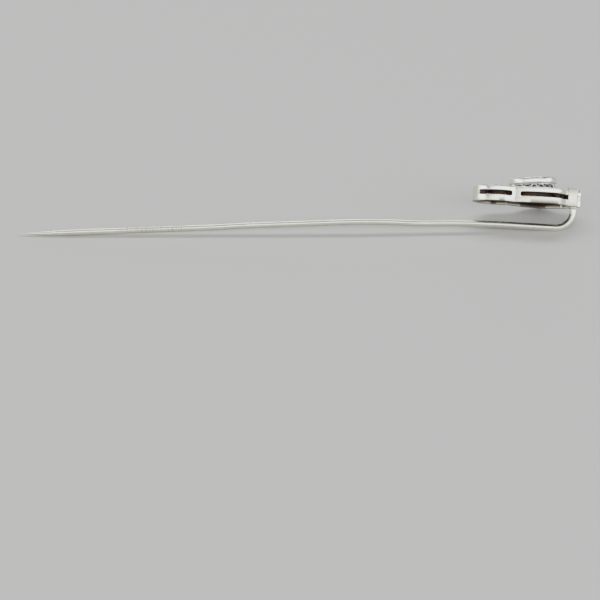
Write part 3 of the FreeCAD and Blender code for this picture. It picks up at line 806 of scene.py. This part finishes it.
def makeGallery():
    # foot ring flat on the plate, neck ring tilted with the cluster, arches between them
    maker = bmesh.new()
    foot, neck = raised["foot"] - 0.1, raised["neck"] - 0.12
    arches = gallery["arches"]
    ring = [spot for spot, _ in around(96, foot, railTop + 0.06)]
    addTube(maker, ring, gallery["footWire"], 10, closed=True)
    ring = [tierTurn @ spot for spot, _ in around(96, neck, galleryTop - 0.05)]
    addTube(maker, ring, gallery["neckWire"], 10, closed=True)

    def between(turn, lift, outward=0.0):
        low = spotAt(turn, foot + outward, railTop + 0.06)
        high = tierTurn @ spotAt(turn, neck + outward, galleryTop - 0.06)
        return low.lerp(high, lift)
    for k in range(arches):
        path = []
        for step in range(13):
            share = step / 12
            path.append(between(2 * math.pi * (k + share) / arches, math.sin(math.pi * share) ** 0.7))
        addTube(maker, path, gallery["archWire"], 8)
    for k in range(arches):
        addBead(maker, between(2 * math.pi * k / arches, 0.1, 0.05), gallery["footBead"])
        addBead(maker, between(2 * math.pi * (k + 0.5) / arches, 0.82, 0.07), gallery["neckBead"])
    addLoops(maker, [[between(2 * math.pi * k / 72, lift, outward) for k in range(72)]
                     for outward, lift in gallery["wall"]], wrap=True)

    # painted shade inside the gallery: the wall behind the arches and everything within it is darkened
    def galleryShade(spot):
        reach = math.hypot(spot.x - raised["along"], spot.y)
        return 0.95 if reach < foot - 0.13 - (spot.z - railTop) * 0.28 else 0.10
    build("centreGallery", maker, "grain_metal", ["centre_gallery"], grimeAndShade=galleryShade)

# cushion rim of the cluster as (radius, height) points, its shallow flutes and its beads
rim = {"profile": ((2.30, 0.02), (2.52, 0.0), (2.60, 0.02), (2.64, 0.07), (2.65, 0.16), (2.65, 0.30),
                   (2.648, 0.44), (2.635, 0.53), (2.60, 0.61), (2.54, 0.665), (2.46, 0.69), (2.36, 0.69),
                   (2.30, 0.66), (2.26, 0.58), (2.25, 0.30)),
       "flutes": 64, "fluteDepth": 0.008, "fluteHeight": 0.30, "fluteReach": 0.22,
       "beads": 66, "bead": 0.092, "beadInset": 0.24, "beadSink": 0.03}

def makeClusterRim():
    maker = bmesh.new()

    def flutes(radius, height, turn):
        fade = max(0.0, 1 - abs(height - galleryTop - rim["fluteHeight"]) / rim["fluteReach"])
        return -rim["fluteDepth"] * fade * (0.5 + 0.5 * math.cos(rim["flutes"] * turn))
    addLathe(maker, [(radius, galleryTop + height) for radius, height in rim["profile"]], middle, 256, flutes)
    beadHeight = galleryTop + raised["height"] - rim["beadSink"]
    for spot, _ in around(rim["beads"], raised["radius"] - rim["beadInset"], beadHeight):
        addBead(maker, spot, rim["bead"] * chance.uniform(0.93, 1.05))
    # the rim's underside is darkened as painted shade
    build("clusterRim", maker, "grain_metal", ["cluster_rim"], tierPlace,
          grimeAndShade=lambda spot: 0.3 if spot.z < galleryTop + 0.06 else 0.04)

# scalloped floor round the collet, with a wire round each small stone
floor = {"outer": 2.27, "inner": 1.20, "rings": 14, "height": 0.40, "ridge": 0.10, "star": 0.05,
         "rise": 0.06, "wire": 0.038, "wireHeight": 0.49, "wireGap": 0.035}

def makeClusterFloor():
    maker = bmesh.new()
    count = raised["haloCount"]
    loops = []
    for index in range(floor["rings"] + 1):
        share = index / floor["rings"]
        radius = floor["outer"] + (floor["inner"] - floor["outer"]) * share
        loop = []
        for k in range(192):
            turn = 2 * math.pi * k / 192
            ridge = 0.5 + 0.5 * math.cos(count * turn + math.pi)
            star = 0.5 + 0.5 * math.cos(2 * count * turn)
            crown = math.sin(math.pi * share)
            height = (galleryTop + floor["height"] + floor["ridge"] * crown * ridge
                      - floor["star"] * (1 - crown) * star + floor["rise"] * share)
            loop.append(spotAt(turn, radius, height))
        loops.append(loop)
    under = [[Vector((spot.x, spot.y, galleryTop + 0.02)) for spot in loop] for loop in (loops[-1], loops[0])]
    addLoops(maker, loops + under, wrap=True)
    for spot, _ in around(count, raised["halo"], galleryTop + floor["wireHeight"]):
        ring = circleLoop((spot.x, spot.y), raised["haloStone"] + floor["wireGap"], 28, spot.z)
        addTube(maker, ring, floor["wire"], 8, closed=True)
    # the floor's underside is darkened as painted shade
    build("clusterPlate", maker, "grain_metal", ["cluster_plate"], tierPlace,
          grimeAndShade=lambda spot: 0.8 if spot.z < galleryTop + 0.1 else 0.12)

# ring of small stones: height of their girdles, and the grains between them as (distance from the
# ring, height, radius)
halo = {"height": 0.46, "grains": ((-0.36, 0.56, 0.095), (0.34, 0.53, 0.095), (0.02, 0.55, 0.085))}

def makeHalo():
    stones = bmesh.new()
    for spot, turn in around(raised["haloCount"], raised["halo"], galleryTop + halo["height"]):
        addStone(stones, spot, raised["haloStone"], 0.34, 0.8, 0.06, turn)
    build("haloStones", stones, "clear_stone", ["halo_stones"], tierPlace, sharp=1)
    grains = bmesh.new()
    for outward, lift, radius in halo["grains"]:
        for spot, _ in around(raised["haloCount"], raised["halo"] + outward, galleryTop + lift, 0.5):
            addBead(grains, spot, radius)
    build("haloGrains", grains, "grain_metal", ["halo_grains"], tierPlace)

# collet of the centre stone: lower and upper parts of its profile, the upper from its top edge; its
# milgrain and its claws
collet = {"top": 0.70, "foot": ((0.70, -0.80), (0.86, -0.80), (1.26, 0.02), (1.29, 0.3)),
          "lip": ((1.27, -0.10), (1.23, -0.03), (1.17, 0.0), (1.12, -0.04), (1.10, -0.16)),
          "inside": ((0.98, 0.30), (0.72, -0.6)), "beads": 40, "bead": 0.062, "beadReach": 1.235,
          "claws": 8, "claw": 0.12, "clawReach": 1.13, "stone": 1.10, "stoneSink": 0.14}

def makeCentre():
    maker = bmesh.new()
    top = galleryTop + collet["top"]
    profile = [(radius, galleryTop + height) for radius, height in collet["foot"]]
    profile += [(radius, top + height) for radius, height in collet["lip"]]
    profile += [(radius, galleryTop + height) for radius, height in collet["inside"]]
    addLathe(maker, profile, middle, 96)
    for spot, _ in around(collet["beads"], collet["beadReach"], top - 0.01):
        addBead(maker, spot, collet["bead"])
    for spot, _ in around(collet["claws"], collet["clawReach"], top + 0.03, 0.5):
        addBead(maker, spot, collet["claw"], 0.9)
    # the collet's part below the gallery top is darkened as painted shade
    build("centreCollet", maker, "grain_metal", ["centre_collet"], tierPlace,
          grimeAndShade=lambda spot: 0.85 if spot.z < galleryTop else 0.05)
    maker = bmesh.new()
    addStone(maker, (raised["along"], 0, top - collet["stoneSink"]), collet["stone"], 0.27, 0.74, 0.04, 0.2)
    build("centreStone", maker, "clear_stone", ["centre_stone"], tierPlace, sharp=1)

makeGallery()
makeClusterRim()
makeClusterFloor()
makeHalo()
makeCentre()
print("raised middle made")

def makeCups():
    # each setting is a collet with a skirt darkened as painted shade under the plate, claws, a beaded rim and
    # a stone
    for name, u, v, radius in cupList():
        maker = bmesh.new()
        top = railTop + cups["rise"]
        foot = railTop - cups["drop"]
        skirt = railTop - cups["skirt"]
        profile = [(0.55 * radius - 0.08, skirt), (0.55 * radius, skirt + 0.01), (radius - 0.03, foot + 0.02),
                   (radius, foot + 0.3), (radius, top - 0.12),
                   (radius - 0.035, top - 0.03), (radius - 0.075, top), (radius - 0.11, top - 0.03),
                   (radius - 0.12, top - 0.10), (radius - 0.19, foot + 0.1)]
        addLathe(maker, profile, (u, v, 0), 48)
        claws = 4 if radius < 0.5 else 6
        turnStart = chance.uniform(0, 1)
        for k in range(claws):
            turn = 2 * math.pi * (k + turnStart) / claws
            addBead(maker, polar((u, v), radius - 0.115, turn, top + 0.005), cups["claw"], 0.9)
        for spot in circleLoop((u, v), radius - 0.03, round(2 * math.pi * radius / cups["beadPitch"]),
                               top - 0.035):
            addBead(maker, spot, cups["bead"])
        build(name + "Setting", maker, "grain_metal", [name + "_setting"],
              grimeAndShade=lambda spot: 0.85 if spot.z < railTop - 0.05 else 0.06)
        maker = bmesh.new()
        addStone(maker, (u, v, top - 0.09), radius - 0.125, 0.30, 0.74, 0.05, turnStart)
        build(name + "Stone", maker, "clear_stone", [name + "_stone"], sharp=1)

# wire curls (place along and across, radius, start turn) and grains on the plate, on both sides
curls = {"wire": 0.045, "turns": 1.15, "shrink": 0.72, "thin": 0.35, "steps": 26, "grain": 0.085, "spots": (
    (-3.55, 0.95, 0.27, 0.9), (-2.45, 0.42, 0.22, 2.2), (-4.02, 1.42, 0.25, 3.6), (-2.1, 1.72, 0.20, 5.0),
    (2.75, 2.55, 0.18, 1.4), (3.78, 0.85, 0.17, 2.9), (-5.15, 0.55, 0.16, 0.3)), "grains": (
    (-5.35, 0.0), (-3.85, 0.28), (-3.62, 1.98), (-2.35, 2.12), (-1.75, 0.75), (4.02, 2.35), (3.0, 2.88),
    (4.62, 0.72), (4.5, 1.72), (2.5, 3.0), (3.88, 0.42))}

def addCurl(maker, centre, radius, start, spin):
    # flat spiral wire that ends in a bead
    path = []
    for k in range(curls["steps"]):
        share = k / (curls["steps"] - 1)
        turn = start + spin * 2 * math.pi * curls["turns"] * share
        reach = radius * (1 - curls["shrink"] * share)
        path.append(polar(centre, reach, turn, railTop + 0.02))
    addTube(maker, path, lambda share: curls["wire"] * (1.0 - curls["thin"] * share), 8)
    addBead(maker, path[-1], curls["wire"] * 1.5)

def makeCurls():
    maker = bmesh.new()
    for u, v, radius, start in curls["spots"]:
        for side in (-1, 1):
            addCurl(maker, (u, side * v), radius, side * start, side)
    for u, v in curls["grains"]:
        for side in (-1, 1):
            size = curls["grain"] * chance.uniform(0.9, 1.1)
            addBead(maker, (u, side * v, railTop + 0.01), size, 0.85)
    build("plateCurls", maker, "grain_metal")

makeCups()
makeCurls()
print("settings made")

# underside: section of the round seat from the plate down, and the two V-shaped struts
under = {"ring": ((2.17, -0.58), (2.21, -0.62), (2.41, -0.62), (2.45, -0.58), (2.45, 0.0), (2.17, 0.0)),
         "strutAlong": -3.8, "strutAcross": 0.85, "strutReach": 1.6, "strutHalf": 0.15, "strutTall": 0.50,
         "strutBevel": 0.035, "angles": (36, -22)}

def makeUnderside():
    foot = railTop - plate["thick"]
    maker = bmesh.new()
    addLathe(maker, [(radius, foot + height) for radius, height in under["ring"]], middle, 96)
    # the underside ring is darkened as painted shade, most on its outer part
    build("underRing", maker, "head_metal", ["under_ring"],
          grimeAndShade=lambda spot: 0.95 if math.hypot(spot.x - raised["along"], spot.y) > 2.3 else 0.5)
    for side, word in ((-1, "near"), (1, "far")):
        maker = bmesh.new()
        tip = Vector((under["strutAlong"], side * under["strutAcross"]))
        for angle in under["angles"]:
            arm = Matrix.Rotation(math.radians(side * angle), 2) @ Vector((1, 0))
            cross = Vector((-arm.y, arm.x)) * under["strutHalf"]
            end = tip + arm * under["strutReach"]
            plan = [(spot.x, spot.y) for spot in (tip - cross, end - cross, end + cross, tip + cross)]
            addPrism(maker, plan, foot - under["strutTall"], foot, under["strutBevel"])
        # the struts under the plate are darkened as painted shade
        build(word + "UnderStrut", maker, "head_metal", [word + "_under_strut"], sharp=50,
              grimeAndShade=lambda spot: 0.8)

makeUnderside()
print("underside made")

studio = {"tableHalf": 3.0, "tableColour": (0.56, 0.56, 0.555, 1), "tableRoughness": 0.6,
          "sky": (0.80, 0.85, 0.92, 1), "skyStrength": 0.22}
half = studio["tableHalf"]
tableMesh = bpy.data.meshes.new("table")
tableMesh.from_pydata([(-half, -half, 0), (half, -half, 0), (half, half, 0), (-half, half, 0)],
                      [], [(0, 1, 2, 3)])
table = added("table", tableMesh)
tableMaterial = bpy.data.materials.new("tablePaint")
tableMaterial.use_nodes = True
Flow(tableMaterial.node_tree).feed(tableMaterial.node_tree.nodes["Principled BSDF"],
                                   {"Base Color": studio["tableColour"],
                                    "Roughness": studio["tableRoughness"]})
tableMesh.materials.append(tableMaterial)

# name, place and size in metres, power and tone of each lamp
lamps = (("overhead", (-0.02, 0.22, 0.50), (0.7, 0.14), 2.2, (1, 1, 1)),
         ("front", (0.0, -0.49, 0.35), (1.32, 0.20), 4.3, (1.0, 0.99, 0.93)),
         ("behind", (0.0, 0.62, 0.09), (1.3, 0.12), 1.2, (1.0, 0.99, 0.95)),
         ("side", (0.50, -0.15, 0.14), (0.56, 0.2), 1.7, (0.92, 0.95, 1.0)),
         ("left", (-0.52, 0.0, 0.12), (0.62, 0.22), 2.4, (1.0, 0.98, 0.92)))

def addLamp(name, spot, size, power, tone):
    # soft rectangle aimed at the object
    lamp = bpy.data.lights.new(name, "AREA")
    lamp.shape = "RECTANGLE"
    lamp.size, lamp.size_y = size
    lamp.energy = power
    lamp.color = tone
    holder = added(name, lamp)
    holder.location = spot
    holder.rotation_euler = (-Vector(spot)).to_track_quat("-Z", "Y").to_euler()

for lampValues in lamps:
    addLamp(*lampValues)
world = bpy.data.worlds.new("studio")
world.use_nodes = True
backdrop = world.node_tree.nodes["Background"]
backdrop.inputs["Color"].default_value = studio["sky"]
backdrop.inputs["Strength"].default_value = studio["skyStrength"]
bpy.context.scene.world = world
print("table and lamps set")
